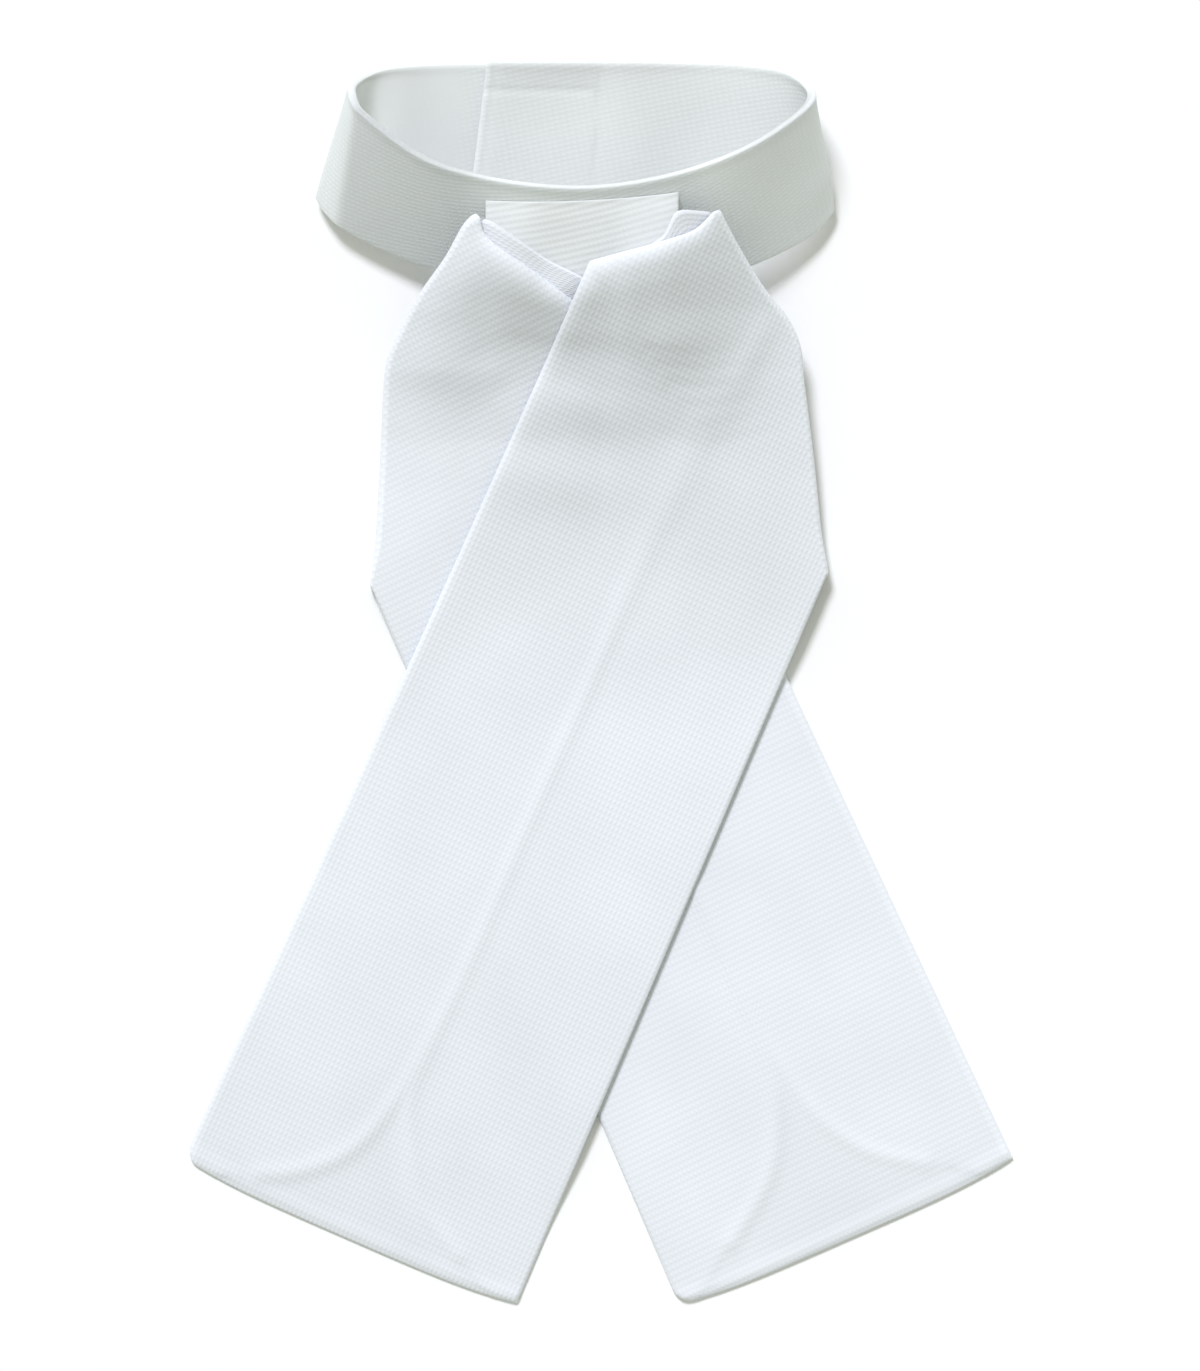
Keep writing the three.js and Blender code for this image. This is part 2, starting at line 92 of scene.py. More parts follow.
# Lower edge of the neckband in the same order: x, y, z
LOWER_POINTS = [
    (2.0, 147.4, 1.1),
    (-32.0, 147.4, 1.1),
    (-62.0, 147.4, 1.3),
    (-79.0, 148.7, 2.0),
    (-87.0, 150.2, 3.2),
    (-85.6, 146.4, 3.8),
    (-79.2, 141.4, 4.6),
    (-69.6, 135.8, 5.4),
    (-52.4, 128.4, 8),
    (-34.0, 121.2, 10.5),
    (-7.0, 116.2, 12.5),
    (16.5, 119.0, 12.5),
    (28.5, 122.4, 12),
    (47.8, 129.3, 9.5),
    (60.6, 135.6, 6.4),
    (67.3, 140.4, 4.6),
    (71.1, 146.6, 3.2),
    (65.0, 148.2, 2.0),
    (48.0, 147.3, 1.3),
    (24.0, 147.4, 1.1),
    (2.0, 147.4, 1.1),
]

# The lap at the back of the neckband, and the fastener in it
BAND_REACH = 44
LAP_LEFT_X = -35
LAP_RIGHT_X = 4
LAP_SLANT = 3.2
LAP_RISE = BAND_THICKNESS + FASTENER_THICKNESS + 2 * REST_GAP
LAP_EASE = 30
FASTENER_LEFT_X = -31
FASTENER_RIGHT_X = 0
FASTENER_TOP_Y = 182.5
FASTENER_LOW_Y = 153

# Gentle part of the height that the tails are draped over: y, z, x of its middle
DRAPE_ROWS = [
    (170, 30.5, -6),
    (150, 29, -6),
    (140, 27.2, -6),
    (132, 25.6, -6),
    (124, 23.8, -5),
    (115, 21.6, -4),
    (105, 19.4, -2),
    (97, 17.4, 0),
    (90, 15.2, 3),
    (82, 12.8, 6),
    (75, 10.8, 9),
    (60, 7.5, 12),
    (45, 4.9, 12),
    (30, 2.8, 12),
    (15, 1.3, 12),
    (0, 0.4, 12),
    (-15, 0, 12),
    (-260, 0, 12),
]
DRAPE_FLAT_HALF = 22
DRAPE_FALL_WIDTH = 42

# Steep part of the drape, from the ridge below the top edges of the tails:
# x, y of ridge, y of foot, drop between them
STEEP_ROWS = [
    (260, 130, 96, 20),
    (70, 132, 96, 20),
    (45, 134, 91, 20),
    (30, 133, 89, 20),
    (21, 131, 91, 20),
    (12, 128, 94, 18.2),
    (3, 125.5, 97, 13.5),
    (-6, 121.5, 99, 11.5),
    (-16, 119.3, 100.5, 10.5),
    (-25, 122.8, 101, 12.5),
    (-34, 126.6, 97, 13.5),
    (-43, 122, 90, 14),
    (-53, 116, 81, 14),
    (-70, 114, 79, 14),
    (-260, 114, 79, 14),
]
STEEP_FALL_WIDTH = 30
RIDGE_SOFTNESS = 0.13
FOOT_SOFTNESS = 0.34
SOFTENING = (-1, -0.6, -0.2, 0.2, 0.6, 1)

# Outlines of the tails as seen from above: x, y. side is 1 for the tail that folds over at the
# right, gather is where its other end is stitched, round_corner names the rounded corner of its
# free end, and end_white is the share by which it is whiter towards that end.
FRONT_TAIL = {
    "side": 1,
    "inner_end": (-128.5, -146.0),
    "outer_end": (-25.9, -190.7),
    "shoulder": [
        (36.3, 144.1),
        (38.0, 140.3),
        (45.2, 128.2),
        (51.3, 119.4),
        (57.3, 112.3),
        (61.2, 104.0),
        (62.4, 93.4),
        (65.5, 68.9),
        (69.2, 32.9),
    ],
    "inner": [
        (-3.3, 128.3),
        (3.6, 130.1),
        (16.2, 133.3),
        (21.5, 135.0),
        (29.9, 138.3),
        (36.3, 144.1),
    ],
    "back": [
        (36.3, 144.2),
        (30.8, 144.3),
        (24.6, 143.7),
        (20.0, 136.3),
        (14.9, 132.8),
        (-0.3, 119.9),
    ],
    "gather": {"x": -0.3, "top": 119.9, "low": 92},
    "round_corner": "inner",
    "end_white": -0.035,
}
REAR_TAIL = {
    "side": -1,
    "inner_end": (126.9, -146.0),
    "outer_end": (24.0, -191.0),
    "shoulder": [
        (-38.2, 143.0),
        (-41.5, 139.9),
        (-47.4, 130.0),
        (-55.1, 119.8),
        (-60.6, 110.6),
        (-65.1, 101.3),
        (-66.4, 95.8),
        (-68.0, 68.9),
        (-70.3, 28.9),
    ],
    "inner": [
        (10.4, 101.4),
        (1.5, 109.8),
        (-10.0, 118.0),
        (-18.5, 124.4),
        (-25.8, 129.4),
        (-33.2, 134.6),
        (-36.9, 138.4),
        (-38.2, 143.0),
    ],
    "back": [
        (-38.2, 143.1),
        (-35.1, 142.2),
        (-26.0, 136.0),
        (-16.8, 129.7),
        (-6.4, 124.1),
        (-1.5, 121.0),
    ],
    "gather": {"x": -1.5, "top": 120.9, "low": 92},
    "round_corner": "outer",
    "end_white": 0,
}

# Form of the tails: width and ends, the rolled top edge, the fold, and the gathered ends
TAIL_WIDTH = 112
CORNER_RADIUS = 4.5
TAIL_END_BOW = 2.6
BOW_POWER = 4
BOW_FADE = 3
BEND_DROP = 8
TOP_ROLL_DROP = 2.0
TOP_ROLL_WIDTH = 5
ROLL_FADE = 8
EDGE_REST = 1.15
TOP_EDGE_PULL = 3
FOLD_TAPER_START = 0.86
OUTLINE_NUDGE = 0.002
PLEAT_COUNT = 3
PLEAT_DEPTH = 0.2
PLEAT_START = 0.3
PLEAT_EASE = 0.5

# Soft humps on the hanging part of each tail: x, y, turn in degrees, long and short reach, height
FRONT_DENTS = [
    (-3, 86, -6, 30, 8, 1.3),
    (-14, 62, -6, 30, 9, 0.9),
    (23, 104, 30, 10, 8, 1.1),
    (46, 101.7, 63, 12, 4, 0.6),
]
REAR_DENTS = [
    (-44, 95, -20, 14, 9, 1.2),
]

# Lines where the turned edges behind each tail press through: x, y
FRONT_CENTRE_LINE = [
    (37.4, 92),
    (26.6, 68.4),
    (14.6, 43),
    (-5.6, -5),
    (-25.6, -50.5),
    (-44.4, -94.6),
    (-59.8, -123),
]
FRONT_LEFT_ARC = [(-44.4, -94.6), (-59.8, -123), (-77.9, -144), (-96.1, -150.4), (-106, -151)]
FRONT_RIGHT_ARC = [(-52, -110), (-58.6, -125.7), (-58.6, -141), (-54.5, -162), (-44, -176)]
REAR_CENTRE_LINE = [(-10, 24), (14, -29), (30.8, -66.2), (38.5, -84.3), (49, -107.6), (55.5, -118)]
REAR_LEFT_ARC = [(44, -96), (52.8, -123), (53.6, -136), (51.5, -151.6), (40, -172)]
REAR_RIGHT_ARC = [(49, -107.6), (55.5, -118), (67, -133.4), (82.6, -143.8), (100, -147.4)]
SEAM_HEIGHT = 0.5
SEAM_WIDTH = 2.4
SEAM_SPREAD = 0.025
SEAM_SPREAD_Y = 10

# Hems of the tails and the hollow below the seams near each end. Here and below, the shares by which
# the cloth is whiter, or greyer when they are below 0, at hems, pockets, rims, the lap and the band's
# sides are painted highlights and painted shade.
HEM_RADIUS = 1.6
EDGE_HEM = 1.7
# Painted highlight along the rounded long edges of the tails
EDGE_HEM_HIGHLIGHT = 0.05
END_HEM = 0.9
# Painted highlight along the rounded free ends
END_HEM_HIGHLIGHT = 0.09
END_RIDGE_AT = 2.2
END_RIDGE_WIDTH = 1.4
POCKET_TOP_Y = -90
POCKET_DEPTH = 0.3
# Painted shade in the hollow of each pocket
POCKET_SHADE = -0.035
POCKET_SOFT = (4, 10)
# Painted light that lifts the shade on the back layer of each tail
BACK_LAYER_PAINTED_LIGHT = 0.07
END_WHITE_START_Y = -60
END_WHITE_REACH = 60

# The tab at the front
TAB_LEFT_X = -35.1
TAB_RIGHT_X = 23.6
TAB_MIDDLE_X = -5.8
TAB_TOP_LEFT_Y = 147.0
TAB_TOP_RIGHT_Y = 149.4
TAB_TOP_DIP = 1.5
TAB_LOW_Y = 108
TAB_TALL = 46
TAB_KNOT_Y = 125
TAB_UNDER = 1.85
TAB_EDGE_RISE = 0.9
TAB_TOP_BEND = 0.35
TAB_BEND_REACH = 2.2
# Painted highlight on the tab's top edge
TAB_TOP_HIGHLIGHT = 0.06
TAB_TOP_HIGHLIGHT_REACH = 9
TAB_THIN = 0.35
TAB_THIN_REACH = 5

# Where the tab meets the front of the band: the shares of the rim that the front lies between, its
# reach, the rounds and steps of the search, and how much thicker the leaning wall stands upright
FRONT_FROM = 0.25
FRONT_TO = 0.8
FRONT_TOP_Y = 150
FRONT_REACH_Y = 33
SEARCH_ROUNDS = 6
SEARCH_STEPS = 24
BAND_LEAN = 1.3

# Soft humps of the band's wall towards its inner side: length round the rim, distance down from
# it, reach along and down, height
BAND_DENTS = [
    (352, 0, 26, 5.5, 1.1),
    (300, 4, 14, 9, 0.5),
    (262, 30, 12, 8, -0.5),
    (66, 16, 9, 16, 0.4),
]

# Turned and pressed details of the band, by length round the rim and distance down from it
BAND_EDGE_RADIUS = 0.7
LEFT_BEND_TOP = 103
LEFT_BEND_LOW = 100
LEFT_BEND_HEIGHT = 1.9
LEFT_BEND_BEFORE = 7
LEFT_BEND_AFTER = 40
FRONT_START = 92
FRONT_END = 268
FRONT_EASE = 14
RIM_ROLL_DROP = 0.4
RIM_ROLL_WIDTH = 2.4
RIM_BEAD = 0.4
RIM_BEAD_DEPTH = 1.0
RIM_BEAD_WIDTH = 1.1
# Painted highlight on the lip of the back rim, painted shade on the lip of the front rim
RIM_HIGHLIGHT_BACK = 0.1
RIM_SHADE_FRONT = -0.16
LIP_DEPTH = 1.5
LIP_SHARE = 0.45

# The outer face of the band, whiter towards the right, at the front, beside the tab and at the left
# end: painted light that lifts the shade on the right side, at the front and beside the tab, painted
# shade on the left side, and a painted highlight on the lit left end
OUTER_PAINTED_LIGHT = 0.1
OUTER_PAINTED_LIGHT_MIDDLE = 145
OUTER_PAINTED_LIGHT_REACH = 45
FRONT_PAINTED_LIGHT = 0.1
FRONT_PAINTED_LIGHT_AT = 185
FRONT_PAINTED_LIGHT_REACH = 45
TAB_SIDE_PAINTED_LIGHT = 0.16
TAB_SIDE_AT = 31
TAB_SIDE_REACH = 11
LEFT_HIGHLIGHT = 0.2
LEFT_HIGHLIGHT_FADE = 4

# The inner face of the band: the left corner, the back wall, the lap and the stitched patch, with
# painted light lifting the shade in the left corner, painted shade on the back wall, and a painted
# highlight and painted shade at the lap's end and round the patch
LEFT_INNER_PAINTED_LIGHT = 0.28
LEFT_INNER_AT = 79
LEFT_INNER_REACH = 12
BACK_SHADE = -0.06
BACK_SHADE_AT = 52
BACK_SHADE_REACH = 20
LAP_DROOP = 2.25
LAP_DROOP_WIDTH = 4.5
LAP_BEAD = 0.3
LAP_BEAD_WIDTH = 0.6
LAP_HIGHLIGHT = 0.16
LAP_SHADE = -0.05
LAP_SHADE_AT = 2.2
LAP_HEM = 3.1
LAP_GROOVE = 0.2
LAP_GROOVE_WIDTH = 0.5
PATCH_TOP = 9
PATCH_RIGHT = 339
PATCH_GROOVE = 0.3
PATCH_GROOVE_WIDTH = 0.6
PATCH_SHADE = -0.05
PATCH_LINE_SHADE = -0.06
LAP_TOP_SHADE = -0.06
LAP_TOP_SHADE_AT = 8
LAP_TOP_SHADE_REACH = 22
LAP_TOP_SHADE_DEPTH = 13
LAP_TOP_SHADE_TALL = 9
PLAIN_START = 40
PLAIN_END = 112
PLAIN_EASE = 10


def mix(a, b, t):
    return a + (b - a) * t


def ease(t):
    c = np.clip(t, 0, 1)
    return c * c * (3 - 2 * c)


def bump_of(distance, width):
    """Soft hump of height 1 over a distance from its middle."""
    return np.exp(-((distance / width) ** 2))


def curve_through(points, steps=CURVE_STEPS):
    """Smooth curve through rows of places, with the length walked to each of its fine steps."""
    p = np.array(points, float)
    p = np.vstack([2 * p[0] - p[1], p, 2 * p[-1] - p[-2]])
    t = np.linspace(0, 1, steps, endpoint=False)[:, None]
    spans = []
    for a, b, c, d in zip(p, p[1:], p[2:], p[3:]):
        ab, bc, cd = (math.sqrt(np.linalg.norm(v)) for v in (b - a, c - b, d - c))
        leave = ((b - a) / ab - (c - a) / (ab + bc) + (c - b) / bc) * bc
        reach = ((c - b) / bc - (d - b) / (bc + cd) + (d - c) / cd) * bc
        square = -3 * b + 3 * c - 2 * leave - reach
        cube = 2 * b - 2 * c + leave + reach
        spans.append(b + leave * t + square * t**2 + cube * t**3)
    places = np.vstack([*spans, p[-2:-1]])
    steps_long = np.linalg.norm(np.diff(places, axis=0), axis=1)
    return np.concatenate([[0], np.cumsum(steps_long)]), places


def along(curve, share):
    """Places at shares of a curve's length."""
    lengths, places = curve
    at = np.asarray(share, float) * lengths[-1]
    return np.stack([np.interp(at, lengths, column) for column in places.T], axis=-1)


def edge_spread(length, radius, step):
    """Places over a length: close together round its two rounded edges, even between them."""
    bend = radius * (1 - np.cos(np.linspace(0, math.pi / 2, EDGE_STEPS + 1)))
    count = max(2, round((length - 2 * radius) / step))
    middle = np.linspace(radius, length - radius, count + 1)[1:-1]
    return np.concatenate([bend, middle, length - bend[::-1]])


def between(value, start, end, soft):
    """1 from one end to another, eased to 0 over a softness inside each of them."""
    return ease((value - start) / soft) * ease((end - value) / soft)


def roundness(distance, radius):
    """Share of the full thickness at a distance from a rounded edge."""
    inward = 1 - np.clip(distance / radius, 0, 1)
    return np.sqrt(np.maximum(0, 1 - inward**2))


def rounded_sheet(one_way, other_way, radius):
    """Share of the full thickness over a grid with four rounded edges."""
    first, second = (roundness(np.minimum(a, a[-1] - a), radius) for a in (one_way, other_way))
    return first[:, None] * second[None, :]


def in_scene(name, data):
    """Object of that name and data, put into the scene."""
    made = bpy.data.objects.new(name, data)
    bpy.context.scene.collection.objects.link(made)
    return made


def cloth_object(name, places, faces, material, maps):
    """Mesh object in metres, with named maps of its cloth."""
    mesh = bpy.data.meshes.new(name)
    mesh.from_pydata((places * MM).tolist(), [], faces.tolist())
    mesh.polygons.foreach_set("use_smooth", [True] * len(mesh.polygons))
    for map_name, values in maps.items():
        layer = mesh.uv_layers.new(name=map_name)
        layer.data.foreach_set("uv", np.asarray(values, float).ravel())
    mesh.materials.append(material)
    return in_scene(name, mesh)


def cloth_wall(
    name, middle, round_off, thickness, material, weave, relief=(0, 0), painted_light_and_tone=(0, 0), plain=0
):
    """Closed cloth wall round a grid of middle places, thinned to its rounded edges.

    weave is the place of each point across and along the flat cloth. relief and the share of painted
    light are given for its two faces: the relief that stands on them, and the share by which they are
    whiter, which is painted light and shade, and on the front tail also a tone towards its free end.
    plain is how far the weave is pressed flat on the first face."""
    over, under = relief
    rows, columns = middle.shape[:2]
    normal = np.cross(np.gradient(middle, axis=0), np.gradient(middle, axis=1))
    normal /= np.linalg.norm(normal, axis=-1, keepdims=True)
    half = thickness / 2 * round_off
    top = middle + normal * (half + over * round_off)[..., None]
    low = middle - normal * (half + under * round_off)[..., None]
    top_index = np.arange(rows * columns).reshape(rows, columns)
    low_index = top_index.copy()
    inside = (rows - 2) * (columns - 2)
    low_index[1:-1, 1:-1] = rows * columns + np.arange(inside).reshape(rows - 2, columns - 2)
    places = np.vstack([top.reshape(-1, 3), low[1:-1, 1:-1].reshape(-1, 3)]) + OUTLINE_SHIFT

    def corners(grid, order):
        parts = [grid[:-1, :-1], grid[1:, :-1], grid[1:, 1:], grid[:-1, 1:]]
        return np.stack([parts[k] for k in order], axis=-1)

    over_order, under_order = (0, 1, 2, 3), (0, 3, 2, 1)
    faces = np.vstack(
        [
            corners(top_index, over_order).reshape(-1, 4),
            corners(low_index, under_order).reshape(-1, 4),
        ]
    )
    across, length = weave
    whole = np.zeros((rows, columns))
    weaves, shades = [], []
    sides = (1, over_order, painted_light_and_tone[0], plain), (-1, under_order, painted_light_and_tone[1], 0)
    for side, order, whiter, pressed in sides:
        for into, u, v in ((weaves, side * across * MM, length * MM), (shades, whiter, pressed)):
            pair = [corners(whole + a, order).reshape(-1, 4) for a in (u, v)]
            into.append(np.stack(pair, axis=-1))
    maps = {"Weave": np.vstack(weaves), "Shade": np.vstack(shades)}
    return cloth_object(name, places, faces, material, maps)


def read_profile(table, y):
    """Height read from rows of y and z, eased with a monotone slope."""
    ys, zs = np.array(table, float)[::-1].T
    secant = np.diff(zs) / np.diff(ys)
    before, after = secant[:-1], secant[1:]
    slope = np.zeros(len(ys))
    same = before * after > 0
    slope[1:-1][same] = 2 * (before * after)[same] / (before + after)[same]
    k = np.clip(np.searchsorted(ys, y) - 1, 0, len(ys) - 2)
    h = ys[k + 1] - ys[k]
    t = np.clip((y - ys[k]) / h, 0, 1)
    t2, t3 = t**2, t**3
    return (
        (2 * t3 - 3 * t2 + 1) * zs[k]
        + (t3 - 2 * t2 + t) * h * slope[k]
        + (3 * t2 - 2 * t3) * zs[k + 1]
        + (t3 - t2) * h * slope[k + 1]
    )


# Neckband
RIM = curve_through(RIM_POINTS)
LOWER = curve_through(LOWER_POINTS)
RIM_LENGTH = RIM[0][-1]
LAP_LENGTH = LAP_RIGHT_X - LAP_LEFT_X


def band_places(length, share):
    """Middle of the band at lengths round the rim and shares from the rim to the lower edge."""
    turn = np.clip(length / RIM_LENGTH, 0, 1)
    place = mix(along(RIM, turn), along(LOWER, turn), share[..., None])
    beyond = length - RIM_LENGTH
    place[..., 0] -= np.maximum(beyond, 0)
    rise = ease((beyond + LAP_EASE) / LAP_EASE)
    place[..., 2] = np.maximum(place[..., 2], BAND_THICKNESS / 2) + LAP_RISE * rise
    return place


def band_dents(length, down, share):
    """Shift of the band's middle towards its inner side: soft dents, and the bend at the left."""
    total = 0 * length
    for at_length, at_down, long_reach, short_reach, height in BAND_DENTS:
        far = np.hypot((length - at_length) / long_reach, (down - at_down) / short_reach)
        total = total + height * bump_of(far, 1)
    past = length - mix(LEFT_BEND_TOP, LEFT_BEND_LOW, share)
    bend = np.minimum(1 + past / LEFT_BEND_BEFORE, 1 - past / LEFT_BEND_AFTER)
    return total - LEFT_BEND_HEIGHT * np.clip(bend, 0, 1)


def band_relief(length, depth, from_end, front):
    """What stands on the band's inner and outer faces: the rim's bead, the lap's hem, the patch."""
    rim_bead = bump_of(depth - RIM_BEAD_DEPTH, RIM_BEAD_WIDTH)
    lap_bead = bump_of(from_end - LAP_BEAD_WIDTH, LAP_BEAD_WIDTH)
    lap_groove = bump_of(from_end - LAP_HEM, LAP_GROOVE_WIDTH)
    patch_top = bump_of(depth - PATCH_TOP, PATCH_GROOVE_WIDTH) * ease(length - PATCH_RIGHT)
    patch_side = bump_of(length - PATCH_RIGHT, PATCH_GROOVE_WIDTH) * ease(depth - PATCH_TOP)
    inner = RIM_BEAD * rim_bead + LAP_BEAD * lap_bead - LAP_GROOVE * lap_groove
    inner = inner - PATCH_GROOVE * np.maximum(patch_top, patch_side)
    return inner, RIM_BEAD * rim_bead * front


def band_painted_light(length, depth, share, from_end, front):
    """Share by which the band's inner and outer faces are whiter: painted highlights and painted
    shade for the light on the rim, the lap, the patch and the ring's sides.
    """
    rim = mix(RIM_HIGHLIGHT_BACK, RIM_SHADE_FRONT, front) * ease(2 * (1 + RIM_BEAD_DEPTH - depth))
    past_lip = ease(depth - LIP_DEPTH)
    lap_top_shade = bump_of(from_end - LAP_TOP_SHADE_AT, LAP_TOP_SHADE_REACH)
    lap_top_shade = lap_top_shade * bump_of(depth - LAP_TOP_SHADE_DEPTH, LAP_TOP_SHADE_TALL)
    inner = (
        rim
        + LAP_HIGHLIGHT * bump_of(from_end - LAP_BEAD_WIDTH, LAP_BEAD_WIDTH)
        + LAP_SHADE * bump_of(from_end - LAP_SHADE_AT, LAP_BEAD_WIDTH)
        + PATCH_SHADE * ease(PATCH_TOP - depth) * ease(length - PATCH_RIGHT)
        + PATCH_LINE_SHADE * bump_of(length - PATCH_RIGHT, PATCH_GROOVE_WIDTH)
        + LEFT_INNER_PAINTED_LIGHT * bump_of(length - LEFT_INNER_AT, LEFT_INNER_REACH) * past_lip
        + BACK_SHADE * bump_of(length - BACK_SHADE_AT, BACK_SHADE_REACH) * past_lip
        + LAP_TOP_SHADE * lap_top_shade
    )
    drift = np.clip((length - OUTER_PAINTED_LIGHT_MIDDLE) / OUTER_PAINTED_LIGHT_REACH, -1, 1)
    before_bend = mix(LEFT_BEND_TOP, LEFT_BEND_LOW, share) - length
    left = ease(before_bend / LEFT_HIGHLIGHT_FADE + 1 / 2) * mix(LIP_SHARE, 1, past_lip)
    from_front = np.abs(length - FRONT_PAINTED_LIGHT_AT)
    outer = (
        rim
        + OUTER_PAINTED_LIGHT * drift
        + LEFT_HIGHLIGHT * left
        + FRONT_PAINTED_LIGHT * bump_of(from_front, FRONT_PAINTED_LIGHT_REACH)
        + TAB_SIDE_PAINTED_LIGHT * bump_of(from_front - TAB_SIDE_AT, TAB_SIDE_REACH)
    )
    return inner, outer


def make_band(material):
    total = RIM_LENGTH + LAP_LENGTH
    down = edge_spread(BAND_REACH, BAND_EDGE_RADIUS, BAND_STEP)
    round_way = edge_spread(total, BAND_EDGE_RADIUS, FINE_STEP)
    share = (down / BAND_REACH)[None, :] + 0 * round_way[:, None]
    depth = share * BAND_REACH
    from_end = total - round_way[:, None] + 0 * share
    length = round_way[:, None] / total * (total + LAP_SLANT * share)
    front = between(length, FRONT_START, FRONT_END, FRONT_EASE)
    middle = band_places(length, share)
    away = np.cross(np.gradient(middle, axis=0), np.gradient(middle, axis=1))
    away /= np.linalg.norm(away, axis=-1, keepdims=True)
    middle = middle + away * band_dents(length, depth, share)[..., None]
    middle[..., 2] -= RIM_ROLL_DROP * front * np.clip(1 - depth / RIM_ROLL_WIDTH, 0, 1) ** 2
    middle[..., 2] -= LAP_DROOP * np.clip(1 - from_end / LAP_DROOP_WIDTH, 0, 1) ** 2
    return cloth_wall(
        "neckband_piece",
        middle,
        rounded_sheet(round_way, down, BAND_EDGE_RADIUS),
        BAND_THICKNESS,
        material,
        weave=(depth, length),
        relief=band_relief(length, depth, from_end, front),
        painted_light_and_tone=band_painted_light(length, depth, share, from_end, front),
        plain=between(length, PLAIN_START, PLAIN_END, PLAIN_EASE),
    )


def make_fastener(material):
    radius = FASTENER_THICKNESS / 2
    wide = edge_spread(FASTENER_RIGHT_X - FASTENER_LEFT_X, radius, FASTENER_STEP)
    tall = edge_spread(FASTENER_TOP_Y - FASTENER_LOW_Y, radius, FASTENER_STEP)
    x = FASTENER_LEFT_X + wide[:, None] + 0 * tall
    y = FASTENER_LOW_Y + tall[None, :] + 0 * wide[:, None]
    z = 0 * x + BAND_THICKNESS + REST_GAP + FASTENER_THICKNESS / 2
    return cloth_wall(
        "touch_fastener_piece",
        np.stack([x, y, z], axis=-1),
        rounded_sheet(wide, tall, radius),
        FASTENER_THICKNESS,
        material,
        weave=(x, y),
    )


def band_top(x, y):
    """Height of the band's upper face at places over its front."""
    share = np.clip((FRONT_TOP_Y - y) / FRONT_REACH_Y, 0, 1)
    for _ in range(SEARCH_ROUNDS):
        low = np.full(np.shape(x), RIM_LENGTH * FRONT_FROM)
        high = np.full(np.shape(x), RIM_LENGTH * FRONT_TO)
        for _ in range(SEARCH_STEPS):
            middle = (low + high) / 2
            left = band_places(middle, share)[..., 0] < x
            low = np.where(left, middle, low)
            high = np.where(left, high, middle)
        place = band_places((low + high) / 2, share)
        share = np.clip(share + (place[..., 1] - y) / FRONT_REACH_Y, 0, 1)
    return place[..., 2] + BAND_THICKNESS / 2 * BAND_LEAN


def tab_upper_face(x, y):
    """Height of the tab's upper face under the knot."""
    return drape_height(x, y) - TAB_UNDER * lean_factor(x, y) + TAB_THICKNESS / 2


def make_tab(material):
    radius = TAB_THICKNESS / 2
    wide = edge_spread(TAB_RIGHT_X - TAB_LEFT_X, radius, TAB_STEP)
    walked = edge_spread(TAB_TALL, radius, TAB_STEP)
    x = TAB_LEFT_X + wide
    bow = 1 - ((x - TAB_MIDDLE_X) / (TAB_RIGHT_X - TAB_MIDDLE_X)) ** 2
    top_y = mix(TAB_TOP_LEFT_Y, TAB_TOP_RIGHT_Y, wide / wide[-1]) - TAB_TOP_DIP * bow
    top_z = band_top(x, top_y) + TAB_EDGE_RISE - TAB_TOP_BEND
    knot_z = tab_upper_face(x, np.full(len(x), TAB_KNOT_Y))
    x, top_y, top_z, knot_z = (a[:, None] for a in (x, top_y, top_z, knot_z))
    y = top_y - (top_y - TAB_LOW_Y) * walked / TAB_TALL
    x = x + 0 * y
    taut = mix(top_z, knot_z, (top_y - y) / (top_y - TAB_KNOT_Y))
    upper = np.where(y > TAB_KNOT_Y, taut, tab_upper_face(x, y))
    upper = upper + TAB_TOP_BEND * np.clip(1 - walked / TAB_BEND_REACH, 0, 1) ** 2
    thin = mix(TAB_THIN, 1, ease(walked / TAB_THIN_REACH))
    middle = np.stack([x, y, upper - TAB_THICKNESS / 2 * thin], axis=-1)
    painted_light_and_tone = TAB_TOP_HIGHLIGHT * (1 - ease(walked / TAB_TOP_HIGHLIGHT_REACH)) + 0 * y
    return cloth_wall(
        "knot_tab_piece",
        middle[:, ::-1],
        (thin * rounded_sheet(wide, walked, radius))[:, ::-1],
        TAB_THICKNESS,
        material,
        weave=((walked + 0 * y)[:, ::-1], x[:, ::-1]),
        painted_light_and_tone=(painted_light_and_tone[:, ::-1], 0),
    )


# Tails
def drape_height(x, y):
    """Height of what the tails are draped over, at any place on the table."""
    ys, zs, middles = np.array(DRAPE_ROWS, float)[::-1].T
    aside = np.maximum(0, np.abs(x - np.interp(y, ys, middles)) - DRAPE_FLAT_HALF)
    gentle = read_profile([row[:2] for row in DRAPE_ROWS], y) * bump_of(aside, DRAPE_FALL_WIDTH)
    ridge = read_profile([row[:2] for row in STEEP_ROWS], x)
    foot = read_profile([row[::2] for row in STEEP_ROWS], x)
    drop = read_profile([row[::3] for row in STEEP_ROWS], x)
    up = (y - foot) / (ridge - foot)
    softness = mix(FOOT_SOFTNESS, RIDGE_SOFTNESS, np.clip(up, 0, 1))
    share = sum(np.clip(up + softness * step, 0, 1) for step in SOFTENING) / len(SOFTENING)
    return gentle + drop * share * bump_of(aside, STEEP_FALL_WIDTH)


def dented(rows, x, y):
    """Height that a table of soft humps adds at any place."""
    total = 0 * x
    for at_x, at_y, turn, long_reach, short_reach, height in rows:
        c, s = math.cos(math.radians(turn)), math.sin(math.radians(turn))
        dx, dy = x - at_x, y - at_y
        total = total + height * bump_of(
            np.hypot((dx * c + dy * s) / long_reach, (dy * c - dx * s) / short_reach), 1
        )
    return total


